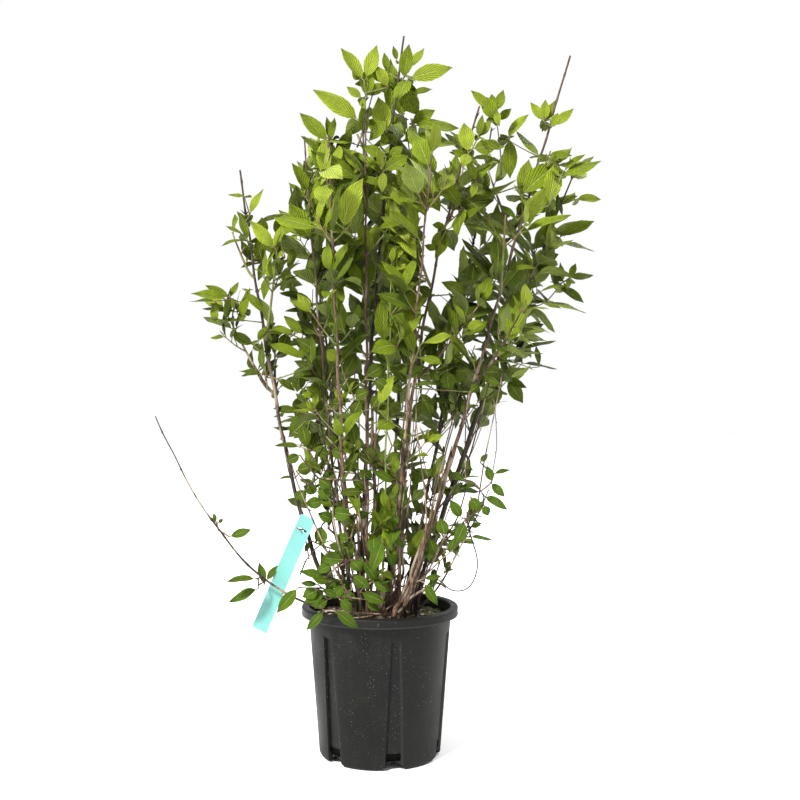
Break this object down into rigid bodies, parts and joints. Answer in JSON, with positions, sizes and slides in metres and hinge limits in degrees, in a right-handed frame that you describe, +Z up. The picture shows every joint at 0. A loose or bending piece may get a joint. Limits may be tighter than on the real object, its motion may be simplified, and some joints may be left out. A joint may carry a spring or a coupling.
{
  "type": "potted panicle hydrangea",
  "caption": "Leafy many-stemmed flowering shrub without blooms, in a round black nursery pot with a bare hanging label; stands on the pot's flat underside.",
  "frame": {"origin": "centre of the pot's flat underside", "axes": "+Z up; -Y is the side that faces the camera, +X is to its right"},
  "size_m": [0.7168, 0.5503, 1.1502],
  "materials": {
    "pot_plastic": "dusty black injection-moulded polypropylene, slightly shiny at its edges",
    "potting_mix": "moist composted bark with white perlite",
    "bark": "smooth to finely striped tan and grey-brown bark with darker buds",
    "green_bark": "this year's soft green shoot",
    "foliage": "thin matt leaves, bright yellow-green at the top and darker below",
    "label_plastic": "thin satin plastic strip in pale aqua"
  },
  "bodies": {
    "root": {"cane_centre": "bark", "cane_east": "bark", "cane_east_low": "bark", "cane_east_wide": "bark", "cane_far_left": "bark", "cane_front_low": "bark", "cane_green_shoot": "green_bark", "cane_north": "bark", "cane_north_east": "bark", "cane_north_mid": "bark", "cane_north_west": "bark", "cane_right_sprig": "bark", "cane_south": "bark", "cane_south_east": "bark", "cane_south_mid": "bark", "cane_south_west": "bark", "cane_west": "bark", "cane_west_inner": "bark", "foliage_centre_front": "foliage", "foliage_centre_left": "foliage", "foliage_centre_right": "foliage", "foliage_centre_top": "foliage", "foliage_east_inner": "foliage", "foliage_east_low": "foliage", "foliage_east_mid": "foliage", "foliage_east_under": "foliage", "foliage_east_upper": "foliage", "foliage_east_wide": "foliage", "foliage_far_left_lower": "foliage", "foliage_far_left_upper": "foliage", "foliage_green_shoot": "foliage", "foliage_low_back": "foliage", "foliage_low_front": "foliage", "foliage_low_right": "foliage", "foliage_low_west": "foliage", "foliage_mid_back_left": "foliage", "foliage_mid_back_right": "foliage", "foliage_north": "foliage", "foliage_north_east": "foliage", "foliage_north_mid": "foliage", "foliage_north_west": "foliage", "foliage_right_sprig": "foliage", "foliage_rim_spray": "foliage", "foliage_south": "foliage", "foliage_south_east_high": "foliage", "foliage_south_east_low": "foliage", "foliage_south_east_mid": "foliage", "foliage_south_mid": "foliage", "foliage_south_west": "foliage", "foliage_west_back": "foliage", "foliage_west_front": "foliage", "foliage_west_inner": "foliage", "foliage_west_outer": "foliage", "foliage_west_upper": "foliage", "hanging_label": "label_plastic", "label_twig": "bark", "nursery_pot": "pot_plastic", "potting_mix": "potting_mix", "root_crown": "bark"}
  },
  "joints": []
}
